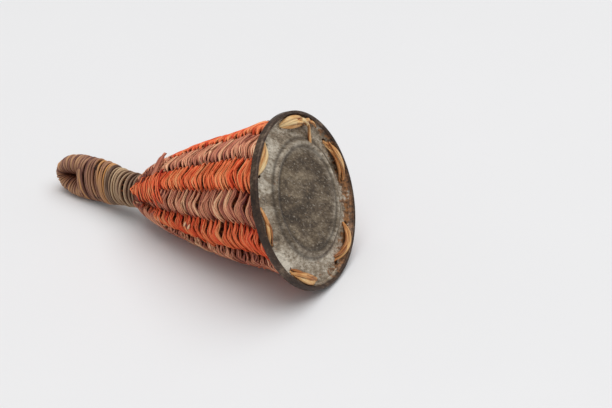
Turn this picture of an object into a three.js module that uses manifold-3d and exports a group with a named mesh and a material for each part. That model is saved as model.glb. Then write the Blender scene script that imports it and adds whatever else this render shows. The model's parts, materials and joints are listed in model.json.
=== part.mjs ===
// A caxixi, the straw basket rattle, lying on its side as it is put down. A bell is twined round twelve
// straw stakes, closed by a used can end, drawn into a bound hanging loop and filled with dry seeds.
// Millimetres, +Z up. The object is first shaped in its own frame: the front of the lid's rim lies in
// the XY plane, +Z runs into the bell and the centre line bends towards +X. At the end it is laid down.
import * as THREE from 'three';
import { mergeVertices } from 'three/addons/utils/BufferGeometryUtils.js';
import Module from 'manifold-3d';

const DEG = Math.PI / 180;
const TURN = 2 * Math.PI;

// Lid: a can end with its rolled seam, which still holds a hoop of the can's wall.
const LID_RADIUS = 38;
const LID_SEGMENTS = 48;
const SHEET = 0.4;
const SEAM_WIDTH = 1.8;
const SEAM_HEIGHT = 3.1;
const SEAM_ROUND = 0.35;
const PANEL_DEPTH = 2.4;
const PANEL_WALL_LEAN = 1;
const BEAD_RADIUS = 23.2;
const BEAD_WIDTH = 3.6;
const BEAD_HEIGHT = 0.8;
const HOOP_BEHIND_SEAM = 0.6;

// Bell: it flares a little at the lid, then narrows with a full curve and a blunt end to a short throat.
const BELL_LENGTH = 88.4;
const THROAT_LENGTH = 1;
const NARROWING_LENGTH = BELL_LENGTH - THROAT_LENGTH;
const MOUTH_INSET = 3.8;
const MOUTH_RADIUS = LID_RADIUS - MOUTH_INSET;
const MOUTH_FLARE = 2;
const FLARE_LENGTH = 10;
const NECK_RADIUS = 7.2;
const BELL_FULLNESS = 1.15;
const NECK_BLUNTNESS = 0.7;

// Centre line: the lid sits low and skew on the bell, and the handle leans further.
const SHIFT_START = 4;
const SHIFT_LENGTH = 14;
const LID_SHIFT = 3.7;
const SKEW_START = 6;
const SKEW_LENGTH = 26;
const LID_SKEW = 9.3 * DEG;
const LEAN_BEFORE_NECK = 7.5;
const LEAN_START = BELL_LENGTH - LEAN_BEFORE_NECK;
const LEAN_LENGTH = 16;
const HANDLE_LEAN = 10.4 * DEG;

// Straw: stakes and weft both taper from the lid to the neck.
const STAKES = 12;
const FIRST_STAKE = -20 * DEG;
const CROWDED_SIDE = -80 * DEG;
const CROWDING = 10 * DEG;
const STAKE_RADIUS = 1.1;
const STAKE_RADIUS_NECK = 0.42;
const WEFT_THICKNESS = 1.3;
const WEFT_THICKNESS_NECK = 0.4;
const WEFT_CLEARANCE = 0.4;
const ROW_GAP = 0.3;
const COURSES = 4;
const ROWS_PER_COURSE = 6;
const WEFT_SLANT = -1;
const SPLICE_GAP = 0.5;
const SEAT = 0.25;

// Stitches: each strand lies on the lid between two holes.
const STITCH_RADIUS = 0.75;
const STITCH_BEND = 0.9;
const HOLE_RADIUS = 1.05;
const HOLE_SIDES = 12;
const STITCH_STEPS = 4;
const WALL_FOOT = 8;
const WALL_STEPS = 14;
const STEP_CROWDING = 1.35;

// Windings: flat straw bands with a gap between their turns, one over the neck and one over both legs.
const BAND_THICKNESS = 0.9;
const BAND_FILL = 0.66;
const BAND_STEPS = 16;
const NECK_BAND_GAP = 1.5;
const NECK_BAND_START = BELL_LENGTH + NECK_BAND_GAP;
const NECK_BAND_LENGTH = 19.3;
const NECK_BAND_TURNS = 11;
const LEG_BAND_GAP = 0.6;
const LEG_BAND_START = NECK_BAND_START + NECK_BAND_LENGTH + LEG_BAND_GAP;
const LEG_BAND_LENGTH = 12.2;
const LEG_BAND_TURNS = 7;
const WHIP_FILL = 0.5;
const WHIP_TURNS = 7;
const WHIP_MARGIN = 8 * DEG;

// Handle: twelve stake ends round a core, which is folded over into a loop.
const NECK_RING = 6.1;
const STAKE_TAIL = 8;
const STAKE_END = NECK_BAND_START + STAKE_TAIL;
const CORE_ROOT = 5.5;
const CORE_START = BELL_LENGTH - CORE_ROOT;
const CORE_RADIUS = 4.8;
const BUNDLE_GAP = 1.5;
const BUNDLE_START = STAKE_END + BUNDLE_GAP;
const BUNDLE_LENGTH = 4;
const SPLIT_START = BUNDLE_START + BUNDLE_LENGTH;
const SPLIT_LENGTH = 9;
const LEG_GAP = 2;
const LEG_START = SPLIT_START + LEG_GAP;
const BEND_GAP = 1.3;
const BEND_CENTRE = LEG_BAND_START + LEG_BAND_LENGTH + BEND_GAP;
const LOOP_RADIUS = 5.8;
const LOOP_ASPECT = 2.25;
const LEG_HALF_WIDTH = 3;
const LEG_HALF_DEPTH = 4.2;
const LOOP_TURN = -20 * DEG;

// Seeds: a bed and a second layer at each station along the bell, on its lower side.
const SEED_HALF = { along: 3.4, across: 4, high: 3.2 };
const SEED_STATIONS = [13, 22.8, 30.6, 39];
const SEEDS_PER_BED = 3;
const SEED_GAP = 0.3;
const SEED_SPACING = 1.02;
const SEED_SIDE = 130 * DEG;
const SEED_DETAIL = [8, 5];

// Rest: which side is down, and the heading that puts the longest extent along X.
const DOWN_SIDE = 144.45 * DEG;
const HEADING = 9.5 * DEG;

const MATERIALS = {
  tin: { color: 0x82796b, roughness: 0.45, metalness: 0.8 },
  seam: { color: 0x4b463e, roughness: 0.5, metalness: 0.8 },
  stake: { color: 0xd7a05a, roughness: 0.55, metalness: 0 },
  orange: { color: 0xd9623a, roughness: 0.65, metalness: 0 },
  brown: { color: 0x9a6c60, roughness: 0.65, metalness: 0 },
  handle: { color: 0x82644f, roughness: 0.7, metalness: 0 },
  olive: { color: 0x7d6e55, roughness: 0.7, metalness: 0 },
  seed: { color: 0x8a7a68, roughness: 0.4, metalness: 0 },
};

const { cos, sin, sqrt, abs, min, max, PI } = Math;
const clamp = (x) => min(max(x, 0), 1);
const mix = (a, b, t) => a + (b - a) * t;
const smooth = (t) => clamp(t) ** 2 * (3 - 2 * clamp(t));

const wasm = await Module();
wasm.setup();

// An arc of the given length and angle, continued straight at both ends.
function arc(s, length, angle) {
  const onArc = min(max(s, 0), length);
  const radius = length / angle;
  const turned = onArc / radius;
  const beyond = s - onArc;
  return {
    x: radius * (1 - cos(turned)) + beyond * sin(turned),
    z: radius * sin(turned) + beyond * cos(turned),
    turned,
  };
}

// The centre line at distance s behind the rim's front.
function centre(s) {
  const body = arc(min(s, LEAN_START) - SKEW_START, SKEW_LENGTH, LID_SKEW);
  const lean = arc(max(s - LEAN_START, 0), LEAN_LENGTH, HANDLE_LEAN);
  const [c, n] = [cos(body.turned), sin(body.turned)];
  return {
    x: LID_SHIFT * smooth((s - SHIFT_START) / SHIFT_LENGTH) + body.x + lean.x * c + lean.z * n,
    z: SKEW_START + body.z + lean.z * c - lean.x * n,
    turned: body.turned + lean.turned,
  };
}

// A point at distance s along the centre line, offset u towards the bend and v along +Y.
function offset(s, u, v) {
  const c = centre(s);
  return new THREE.Vector3(c.x + u * cos(c.turned), v, c.z - u * sin(c.turned));
}

// The same by angle round the centre line and radius.
const place = (s, angle, radius) => offset(s, radius * cos(angle), radius * sin(angle));

// Radii of the bell's wall: how far it has narrowed, its sections and the circle of the stakes.
const narrowing = (s) => 1 - (1 - clamp(s / NARROWING_LENGTH) ** BELL_FULLNESS) ** NECK_BLUNTNESS;
const flare = (s) => MOUTH_FLARE * (1 - smooth(s / FLARE_LENGTH));
const stakeRadius = (s) => mix(STAKE_RADIUS, STAKE_RADIUS_NECK, narrowing(s));
const weftThickness = (s) => mix(WEFT_THICKNESS, WEFT_THICKNESS_NECK, narrowing(s));
const weftReach = (s) => stakeRadius(s) + WEFT_CLEARANCE + weftThickness(s) / 2;
const outerRadius = (s) => mix(MOUTH_RADIUS, NECK_RADIUS, narrowing(s)) + flare(s);
const wallHalf = (s) => weftReach(s) + weftThickness(s) / 2;
const innerRadius = (s) => outerRadius(s) - 2 * wallHalf(s);
function stakeCircle(s) {
  const inBell = outerRadius(s) - wallHalf(s);
  return mix(inBell, NECK_RING, smooth((s - BELL_LENGTH) / (NECK_BAND_START - BELL_LENGTH)));
}

// A closed solid through rings of points, with flat ends.
function loft(rings) {
  const count = rings[0].length;
  const index = [];
  for (let i = 1; i < count - 1; i += 1) {
    const last = (rings.length - 1) * count;
    index.push(0, i + 1, i, last, last + i, last + i + 1);
  }
  for (let k = 0; k < rings.length - 1; k += 1) {
    for (let i = 0; i < count; i += 1) {
      const a = k * count + i;
      const b = k * count + ((i + 1) % count);
      index.push(a, b, b + count, a, b + count, a + count);
    }
  }
  const geometry = new THREE.BufferGeometry().setFromPoints(rings.flat());
  const inward = signedVolume(rings.flat(), index) < 0;
  geometry.setIndex(inward ? index.reverse() : index);
  return geometry;
}

function signedVolume(points, index) {
  let volume = 0;
  for (let i = 0; i < index.length; i += 3) {
    const [a, b, c] = [points[index[i]], points[index[i + 1]], points[index[i + 2]]];
    volume += a.dot(b.clone().cross(c)) / 6;
  }
  return volume;
}

// A round rod along a path of points, each with its own radius. The frame is carried along the path.
function rod(path, sides) {
  const side = new THREE.Vector3();
  const rings = path.map(({ point, radius }, k) => {
    const before = path[max(k - 1, 0)].point;
    const after = path[min(k + 1, path.length - 1)].point;
    const along = after.clone().sub(before).normalize();
    if (k === 0) {
      side.set(along.y, along.z, along.x);
    }
    side.addScaledVector(along, -side.dot(along)).normalize();
    const other = along.clone().cross(side);
    return Array.from({ length: sides }, (_, i) => {
      const a = (TURN * i) / sides;
      return point.clone().addScaledVector(side, radius * cos(a)).addScaledVector(other, radius * sin(a));
    });
  });
  return loft(rings);
}

const caxixi = new THREE.Group();

function add(name, geometry, material) {
  const mesh = new THREE.Mesh(geometry, new THREE.MeshStandardMaterial(material));
  mesh.name = name;
  caxixi.add(mesh);
}

// A closed three.js geometry as a solid that can be cut.
function solid(geometry) {
  geometry.deleteAttribute('normal');
  geometry.deleteAttribute('uv');
  const merged = mergeVertices(geometry);
  const corners = merged.getIndex().array;
  const triangles = [];
  for (let i = 0; i < corners.length; i += 3) {
    const [a, b, c] = corners.slice(i, i + 3);
    if (a !== b && b !== c && c !== a) {
      triangles.push(a, b, c);
    }
  }
  const vertProperties = merged.getAttribute('position').array;
  const triVerts = Uint32Array.from(triangles);
  return new wasm.Manifold(new wasm.Mesh({ numProp: 3, vertProperties, triVerts }));
}

function fromManifold(cut) {
  const mesh = cut.getMesh();
  const geometry = new THREE.BufferGeometry();
  geometry.setAttribute('position', new THREE.BufferAttribute(mesh.vertProperties, mesh.numProp));
  geometry.setIndex(Array.from(mesh.triVerts));
  return geometry;
}

// A solid of revolution about Z, turned so that one of its facets faces the down side.
function revolve(profile) {
  const points = profile.map(([radius, height]) => new THREE.Vector2(radius, height));
  const geometry = new THREE.LatheGeometry(points, LID_SEGMENTS).rotateX(PI / 2);
  return solid(geometry.rotateZ(DOWN_SIDE - PI / LID_SEGMENTS));
}

// The stakes are set by eye and stand closer together on one side of the bell.
const byEye = (angle) => angle - CROWDING * sin(angle - CROWDED_SIDE);
const stakeAngle = (k) => byEye(FIRST_STAKE + (TURN * k) / STAKES);
const holeRing = stakeCircle(SEAM_HEIGHT);

function tinLid() {
  const seamInner = LID_RADIUS - SEAM_WIDTH;
  const wallFoot = seamInner - PANEL_WALL_LEAN;
  const back = PANEL_DEPTH + SHEET;
  const bead = [-BEAD_WIDTH / 2, -BEAD_WIDTH / 4, BEAD_WIDTH / 4, BEAD_WIDTH / 2];
  const crest = [0, -BEAD_HEIGHT, -BEAD_HEIGHT, 0];
  const profile = [
    [0, PANEL_DEPTH],
    ...bead.map((r, i) => [BEAD_RADIUS + r, PANEL_DEPTH + crest[i]]),
    [wallFoot, PANEL_DEPTH],
    [seamInner, SEAM_ROUND],
    [seamInner + SEAM_ROUND, 0],
    [LID_RADIUS - SEAM_ROUND, 0],
    [LID_RADIUS, SEAM_ROUND],
    [LID_RADIUS, SEAM_HEIGHT],
    [LID_RADIUS - SHEET, SEAM_HEIGHT],
    [LID_RADIUS - SHEET, SHEET],
    [seamInner + SHEET, SHEET],
    [wallFoot + SHEET, back],
    ...bead.map((r, i) => [BEAD_RADIUS + r, back + crest[i]]).reverse(),
    [0, back],
  ];
  let lid = revolve(profile);
  for (let k = 0; k < STAKES; k += 1) {
    const hole = new THREE.CylinderGeometry(HOLE_RADIUS, HOLE_RADIUS, 4 * SHEET, HOLE_SIDES).rotateX(PI / 2);
    const at = place(PANEL_DEPTH + SHEET / 2, stakeAngle(k), holeRing);
    lid = lid.subtract(solid(hole.translate(at.x, at.y, at.z)));
  }
  return fromManifold(lid);
}

function seamHoop() {
  const middle = LID_RADIUS - SEAM_WIDTH / 2;
  const [inner, outer] = [middle - SHEET / 2, middle + SHEET / 2];
  const [front, back] = [SHEET + SEAT, SEAM_HEIGHT + HOOP_BEHIND_SEAM];
  const profile = [[inner, front], [outer, front], [outer, back], [inner, back], [inner, front]];
  return fromManifold(revolve(profile));
}

// One strand: down the wall at its first stake, across the lid as a stitch, and up at the next stake.
function strand(k) {
  const [from, to] = [stakeAngle(2 * k), stakeAngle(2 * k + 1)];
  const onLid = PANEL_DEPTH - SEAT - STITCH_RADIUS;
  const heights = [STAKE_END, NECK_BAND_START, BELL_LENGTH];
  for (let i = 0; i <= WALL_STEPS; i += 1) {
    heights.push(mix(NARROWING_LENGTH, WALL_FOOT, (i / WALL_STEPS) ** STEP_CROWDING));
  }
  const wall = (angle) => heights.map((s) => ({
    point: place(s, angle, stakeCircle(s)),
    radius: stakeRadius(s),
  }));
  const corner = (angle, way) => [0, 1, 2].map((i) => {
    const turned = (i * PI) / 4;
    const aside = (way * STITCH_BEND * (1 - cos(turned))) / holeRing;
    const s = onLid + STITCH_BEND * (1 - sin(turned));
    return { point: place(s, angle + aside, holeRing), radius: STITCH_RADIUS };
  });
  const throughHole = (angle) => ({ point: place(SEAM_HEIGHT, angle, holeRing), radius: STITCH_RADIUS });
  const stitch = Array.from({ length: STITCH_STEPS - 1 }, (_, i) => ({
    point: place(onLid, mix(from, to, (i + 1) / STITCH_STEPS), holeRing),
    radius: STITCH_RADIUS,
  }));
  const path = [
    ...wall(from), throughHole(from), ...corner(from, 1),
    ...stitch,
    ...corner(to, -1).reverse(), throughHole(to), ...wall(to).reverse(),
  ];
  return rod(path, 5);
}

// Twining: two strands pass each stake on opposite sides and cross between the stakes. A strand is flat
// and wide where it lies over a stake and half as wide where it crosses its partner.
const rows = COURSES * ROWS_PER_COURSE;
const firstRow = PANEL_DEPTH + SHEET;
const rowPitch = (BELL_LENGTH - firstRow) / (rows + 1);

function weaver(course, phase) {
  const crossings = STAKES * 2;
  const step = TURN / crossings;
  const first = course * ROWS_PER_COURSE * crossings + 2 - 2 * phase;
  const last = first + ROWS_PER_COURSE * crossings;
  const rings = [];
  for (let i = first; i <= last; i += 1) {
    const height = (angle) => firstRow + rowPitch * (0.75 + angle / TURN);
    const splice = SPLICE_GAP / 2 / outerRadius(height(i * step));
    const angle = i * step + (i === first ? splice : 0) - (i === last ? splice : 0);
    const s = height(angle);
    const swing = (i * PI) / 2 + phase * PI;
    const middle = s + (WEFT_SLANT * rowPitch * sin(swing)) / 4;
    const high = mix(rowPitch / 2, rowPitch, abs(cos(swing))) / 2 - ROW_GAP / 2;
    const thick = weftThickness(s) / 2;
    const side = weftReach(s) * cos(swing);
    const corners = [[high, 0], [0, thick], [-high, 0], [0, -thick]];
    rings.push(corners.map(([up, out]) => (
      place(middle + up, byEye(FIRST_STAKE + angle), stakeCircle(middle + up) + side + out)
    )));
  }
  return loft(rings);
}

// Handle: how far the windings reach from the centre line, in the plane of the loop and across it.
const bandSeat = SEAT + BAND_THICKNESS / 2;
const neckReach = NECK_RING + STAKE_RADIUS_NECK + bandSeat;
const split = (s) => smooth((s - SPLIT_START) / SPLIT_LENGTH);
const bandShift = (s) => LOOP_RADIUS * split(s);
const bandWidth = (s) => mix(neckReach, LEG_HALF_WIDTH + bandSeat, split(s));
const bandDepth = (s) => mix(neckReach, LEG_HALF_DEPTH + bandSeat, split(s));
const legOffset = (s) => bandShift(s) + bandWidth(s) - bandSeat - LEG_HALF_WIDTH;

// A point in the plane of the loop, at height s and offset u, and v across that plane.
function onLoop(s, u, v) {
  return offset(s, u * cos(LOOP_TURN) - v * sin(LOOP_TURN), u * sin(LOOP_TURN) + v * cos(LOOP_TURN));
}

// A point round the folded core: bend 0 is the rising leg and PI the folded one.
function roundLeg(s, bend, out, round, wide, deep) {
  const aside = wide * cos(round);
  return onLoop(s + (LOOP_ASPECT * out + aside) * sin(bend), -(out + aside) * cos(bend), deep * sin(round));
}

function handleCore() {
  const sides = 10;
  const ring = (s, bend, out, wide, deep) => Array.from({ length: sides }, (_, i) => (
    roundLeg(s, bend, out, (TURN * i) / sides, wide, deep)
  ));
  const bundle = neckReach - bandSeat;
  const leg = (s, bend) => ring(s, bend, legOffset(s), LEG_HALF_WIDTH, LEG_HALF_DEPTH);
  const legHeights = [mix(LEG_START, BEND_CENTRE, 0.15), mix(LEG_START, BEND_CENTRE, 0.35)];
  const bendSteps = 8;
  const rings = [
    ring(CORE_START, 0, 0, CORE_RADIUS / 2, CORE_RADIUS / 2),
    ring(BELL_LENGTH, 0, 0, CORE_RADIUS, CORE_RADIUS),
    ring(STAKE_END, 0, 0, CORE_RADIUS, CORE_RADIUS),
    ring(BUNDLE_START, 0, 0, bundle, bundle),
    ring(SPLIT_START, 0, 0, bundle, bundle),
    leg(LEG_START, 0),
    ...legHeights.map((s) => leg(s, 0)),
  ];
  for (let i = 0; i <= bendSteps; i += 1) {
    rings.push(ring(BEND_CENTRE, (PI * i) / bendSteps, LOOP_RADIUS, LEG_HALF_WIDTH, LEG_HALF_DEPTH));
  }
  rings.push(...legHeights.reverse().map((s) => leg(s, PI)), leg(LEG_START, PI));
  return loft(rings);
}

// A flat band wound round the handle, given where its points lie: turn, side of the band, and layer.
function winding(name, turns, pointAt) {
  const rings = [];
  for (let i = 0; i <= turns * BAND_STEPS; i += 1) {
    const corners = [[-0.5, -0.5], [0.5, -0.5], [0.5, 0.5], [-0.5, 0.5]];
    rings.push(corners.map(([side, layer]) => pointAt(i / BAND_STEPS, side, layer * BAND_THICKNESS)));
  }
  let gap = Infinity;
  rings.forEach((ring, k) => {
    const others = rings.slice(k + BAND_STEPS / 2).flat();
    ring.forEach((a) => others.forEach((b) => {
      gap = min(gap, a.distanceTo(b));
    }));
  });
  console.log(`${name}: least gap between turns ${gap.toFixed(2)} mm`);
  return loft(rings);
}

// A band over the neck or over both legs: round, or flat-sided where the legs part.
function straightBand(name, start, length, turns) {
  const pitch = length / (turns + BAND_FILL);
  return winding(name, turns, (turn, side, layer) => {
    const s = start + pitch * (turn + BAND_FILL * (side + 0.5));
    const round = TURN * turn;
    const flat = max(-1, min(1, 3 * cos(round)));
    const u = bandShift(s) * flat + (bandWidth(s) + layer) * cos(round);
    return onLoop(s, u, (bandDepth(s) + layer) * sin(round));
  });
}

function loopWhipping(name) {
  const pitch = (PI - 2 * WHIP_MARGIN) / (WHIP_TURNS + WHIP_FILL);
  return winding(name, WHIP_TURNS, (turn, side, layer) => {
    const bend = WHIP_MARGIN + pitch * (turn + WHIP_FILL * (side + 0.5));
    const wide = LEG_HALF_WIDTH + bandSeat + layer;
    const deep = LEG_HALF_DEPTH + bandSeat + layer;
    return roundLeg(BEND_CENTRE, bend, LOOP_RADIUS, TURN * turn, wide, deep);
  });
}

// How far above a seed another one rests when it lies aside from it.
function restsAbove(aside) {
  return 2 * SEED_HALF.high * sqrt(max(SEED_SPACING ** 2 - (aside / SEED_HALF.across / 2) ** 2, 0));
}

// One seed, its length across the bell, in the bed (layer 0) or between two seeds of the bed (layer 1).
function seed(station, layer, number) {
  const radius = innerRadius(station + SEED_HALF.along / 2) - SEED_HALF.high - SEED_GAP;
  const pitch = (2 * SEED_HALF.across * SEED_SPACING) / radius;
  const bed = (angle) => [radius * cos(angle), radius * sin(angle)];
  const angle = pitch * (number - (SEEDS_PER_BED - layer - 1) / 2);
  let [depth, aside] = bed(angle);
  if (layer) {
    const below = [angle - pitch / 2, angle + pitch / 2].map(bed);
    depth = min(...below.map(([d, a]) => d - restsAbove(aside - a)));
  }
  const geometry = new THREE.SphereGeometry(1, ...SEED_DETAIL);
  geometry.scale(SEED_HALF.high, SEED_HALF.across, SEED_HALF.along);
  geometry.translate(depth, aside, 0);
  geometry.rotateZ(SEED_SIDE);
  geometry.rotateY(centre(station).turned);
  return geometry.translate(centre(station).x, 0, centre(station).z);
}

add('tin_lid', tinLid(), MATERIALS.tin);
add('seam_hoop', seamHoop(), MATERIALS.seam);
for (let k = 0; k < STAKES / 2; k += 1) {
  add(`stake_${k + 1}`, strand(k), MATERIALS.stake);
}
for (let course = 0; course < COURSES; course += 1) {
  add(`orange_weaver_${course + 1}`, weaver(course, 0), MATERIALS.orange);
  add(`brown_weaver_${course + 1}`, weaver(course, 1), MATERIALS.brown);
}
add('handle_core', handleCore(), MATERIALS.stake);
const neckBand = straightBand('neck_binding', NECK_BAND_START, NECK_BAND_LENGTH, NECK_BAND_TURNS);
const legBand = straightBand('loop_binding', LEG_BAND_START, LEG_BAND_LENGTH, LEG_BAND_TURNS);
add('neck_binding', neckBand, MATERIALS.olive);
add('loop_binding', legBand, MATERIALS.handle);
add('loop_whipping', loopWhipping('loop_whipping'), MATERIALS.handle);
SEED_STATIONS.forEach((station, row) => {
  for (let layer = 0; layer < 2; layer += 1) {
    for (let k = 0; k < SEEDS_PER_BED - layer; k += 1) {
      add(`seed_${row + 1}_${layer * SEEDS_PER_BED + k + 1}`, seed(station, layer, k), MATERIALS.seed);
    }
  }
});

// Lying down: the down side turns to the table, then the bell tips until its rim and its handle, or
// whatever else is lowest, both touch the table.
function lay(rise) {
  const matrix = new THREE.Matrix4().makeRotationZ(HEADING);
  matrix.multiply(new THREE.Matrix4().makeRotationY(-PI / 2 - rise));
  return matrix.multiply(new THREE.Matrix4().makeRotationZ(PI - DOWN_SIDE));
}

function lowest(meshes, matrix) {
  const point = new THREE.Vector3();
  return min(...meshes.map(({ geometry }) => {
    const position = geometry.getAttribute('position');
    let z = Infinity;
    for (let i = 0; i < position.count; i += 1) {
      z = min(z, point.fromBufferAttribute(position, i).applyMatrix4(matrix).z);
    }
    return z;
  }));
}

const onTable = caxixi.children.filter((mesh) => !mesh.name.startsWith('seed'));
const rim = onTable.filter((mesh) => mesh.name === 'tin_lid' || mesh.name === 'seam_hoop');
const rest = onTable.filter((mesh) => !rim.includes(mesh));
let [flat, steep] = [0, PI / 3];
for (let i = 0; i < 30; i += 1) {
  const middle = (flat + steep) / 2;
  const rimLower = lowest(rim, lay(middle)) < lowest(rest, lay(middle));
  [flat, steep] = rimLower ? [middle, steep] : [flat, middle];
}
caxixi.applyMatrix4(lay((flat + steep) / 2));
caxixi.updateMatrixWorld(true);
const box = new THREE.Box3().setFromObject(caxixi, true);
const middle = box.getCenter(new THREE.Vector3());
caxixi.position.sub(new THREE.Vector3(middle.x, middle.y, box.min.z));

const part = new THREE.Group();
part.add(caxixi);
export default part;
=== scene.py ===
"""The looks of a caxixi, a straw basket rattle that lies on its side.

Shapes are made in the rattle's own frame in millimetres: the front of the lid's rim lies in the XY plane,
+Z runs into the bell and the centre line bends towards +X. place_in_row() takes them to the part's frame.
Values named WANDER hold the spacing and the amount of random offsets.
"""

import json
import math

import bmesh
import bpy
import numpy as np
from mathutils import Matrix, Vector, noise


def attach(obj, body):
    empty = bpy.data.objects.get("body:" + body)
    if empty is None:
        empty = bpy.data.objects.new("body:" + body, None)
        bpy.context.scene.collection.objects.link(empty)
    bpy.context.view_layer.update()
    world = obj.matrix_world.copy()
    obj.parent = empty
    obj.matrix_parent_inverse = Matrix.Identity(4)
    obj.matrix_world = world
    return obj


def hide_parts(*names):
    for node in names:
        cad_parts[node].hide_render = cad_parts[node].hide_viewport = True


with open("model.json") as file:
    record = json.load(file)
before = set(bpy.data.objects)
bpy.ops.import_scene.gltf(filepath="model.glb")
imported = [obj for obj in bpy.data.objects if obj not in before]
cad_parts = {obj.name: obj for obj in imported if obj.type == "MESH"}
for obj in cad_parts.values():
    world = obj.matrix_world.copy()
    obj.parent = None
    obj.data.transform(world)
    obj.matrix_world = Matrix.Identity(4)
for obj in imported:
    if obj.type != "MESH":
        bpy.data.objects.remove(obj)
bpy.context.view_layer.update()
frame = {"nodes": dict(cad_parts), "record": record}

MM = 0.001
TURN = 2 * math.pi

# Random draws: where they all start, and the streams of what isn't weft
RANDOM_START = 7
STITCH_STREAM = 40
HOLE_STREAM = 60
HANDLE_STREAM = 80

# Lid
LID_RADIUS = 38.0
SHEET = 0.4
SEAM_WIDTH = 1.8
SEAM_HEIGHT = 3.1
SEAM_INSIDE = 1.0
SKIRT_CURL_IN = 0.25
SKIRT_CURL_BACK = 0.2
SKIRT_TUCK = 0.1
SKIRT_GAP = 0.15
PANEL_DEPTH = 2.4
PANEL_WALL_LEAN = 1.0
PANEL_MIDDLE = 0.3
PANEL_FOOT = 1.0
PANEL_FOOT_GAP = 0.2
PANEL_CROWN = 1.2
CROWN_EDGE = 4.0
CROWN_FALL = 10.0
BEAD_RADIUS = 23.8
BEAD_WIDTH = 3.6
BEAD_HEIGHT = 0.8
BEAD_CENTRE = (1.2, 2.1)
HOOP_CLEARANCE = 0.25
HOOP_BEHIND_SEAM = 0.6
HOLE_RADIUS = 1.25
HOLE_SIDES = 15
HOLE_RAGGEDNESS = (-0.22, 0.28)
PUNCH_ENDS = (-1.2, 1.6)
# Of each kind of dent: depth, reach and layer of the noise
DENTS = [(0.22, 9.0, 0.4), (0.1, 3.5, 2.0)]
DENT_MARGIN = 1.5
DENT_FADE = 6.0
LID_SEGMENTS = 240
PANEL_POINTS = 60
FOOT_POINTS = 5
WALL_POINTS = 7
ROLL_POINTS = 15
SIDE_POINTS = 6
BACK_STRIDE = 4

# Bell
BELL_LENGTH = 88.4
NARROWING_LENGTH = 87.4
MOUTH_RADIUS = 34.2
MOUTH_FLARE = 2.0
FLARE_LENGTH = 10.0
NECK_RADIUS = 7.2
BELL_FULLNESS = 1.15
NECK_BLUNTNESS = 0.7

# Centre line
SHIFT_START = 4.0
SHIFT_LENGTH = 14.0
LID_SHIFT = 3.7
SKEW_START = 6.0
SKEW_LENGTH = 26.0
LID_SKEW = math.radians(9.3)
LEAN_START = 80.9
LEAN_LENGTH = 16.0
HANDLE_LEAN = math.radians(10.4)
DOWN_SIDE = math.radians(144.45)

# Stakes
STAKES = 12
FIRST_STAKE = math.radians(-20)
CROWDED_SIDE = math.radians(-80)
CROWDING = math.radians(10)
STAKE_RADIUS = 1.1
STAKE_RADIUS_NECK = 0.42
STAKE_FLATNESS = 0.85
STAKE_START = PANEL_DEPTH + 1.5 * SHEET
STAKE_END = 97.9
STAKE_BEND_LENGTH = 9.0
STAKE_WANDER = (6.0, 0.004)
STAKE_POINTS = 90

# Weft: the stagger of a course is in turns, its overlap in stakes
WEFT_THICKNESS = 1.3
WEFT_THICKNESS_NECK = 0.4
WEFT_CLEARANCE = 0.4
COURSES = 4
ROWS_PER_COURSE = 8
ROWS = COURSES * ROWS_PER_COURSE
ROWS_TO_NECK = ROWS + 0.75
LAST_ROW = ROWS + 0.5
ROW_CROWDING = 0.1
COURSE_STAGGER = 0.25
COURSE_OVERLAP = 2.2
STEPS_PER_STAKE = 12
WEFT_PROUD = 0.3
ROW_WANDER = (TURN / STAKES, 0.3)
LID_CLEARANCE = 0.3
BEHIND_LID = PANEL_DEPTH + SHEET + LID_CLEARANCE

# Each pass over a stake draws its own width, bow, tone and height within these
PASS_WIDTH = (0.78, 1.15)
PASS_BOW = (0.65, 1.25)
PASS_TONE = (0.24, 0.74)
PASS_PROUD = (-0.2, 0.35)

# The course of a pass in row pitches
ROW_BOW = 0.75
ROW_LEAN = 0.32
ROW_SETBACK = 0.3
SLANT_ONCE = -0.25
SLANT_TWICE = -0.15

# What changes along a pass, from -1 behind a stake to 1 in front: where it starts and how long it takes
PASS_LIFT = (-0.95, 1.3)
PASS_BODY = (-0.3, 1.15)
PASS_SHADE = (-0.6, 1.5)
# This one is counted from 1 behind a stake to -1 in front
PASS_BEHIND = (0.15, 0.5)
END_WIDTH = 0.2
BEHIND_WIDTH = 1.4

# Of each splint: half width, lowest and highest place across the strand in row pitches, rise in thicknesses
SPLINTS = [
    (0.16, -0.2, -0.08, 0.1),
    (0.14, 0.08, 0.22, 0.0),
    (0.08, -0.44, -0.34, -0.2),
    (0.06, -0.2, 0.2, 0.4),
]
SPLINT_THICKNESS = (0.7, 0.36)
SPLINT_CROSSING = 0.16
SPLINT_TILT = (-0.1, 0.55)
SPLINT_WANDER = (0.2, 0.1)
SWING_WANDER = (TURN / STAKES, 0.2)
WIDTH_WANDER = (0.2, 0.12)
SPLINT_TINT = 0.14
# Paler over the crest of a stake and darker behind it: a painted highlight and shade
CREST_HIGHLIGHT = 0.1
TINT_WANDER = (0.25, 0.12)

# The ends hidden on the inner side close the wall: half width in row pitches, depth in weft reaches
# They are painted dark, as the shade seen through the gaps of the weave
LINING_WIDTH = 0.55
LINING_DEPTH = 0.7
LINING_THICK = 0.3

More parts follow.
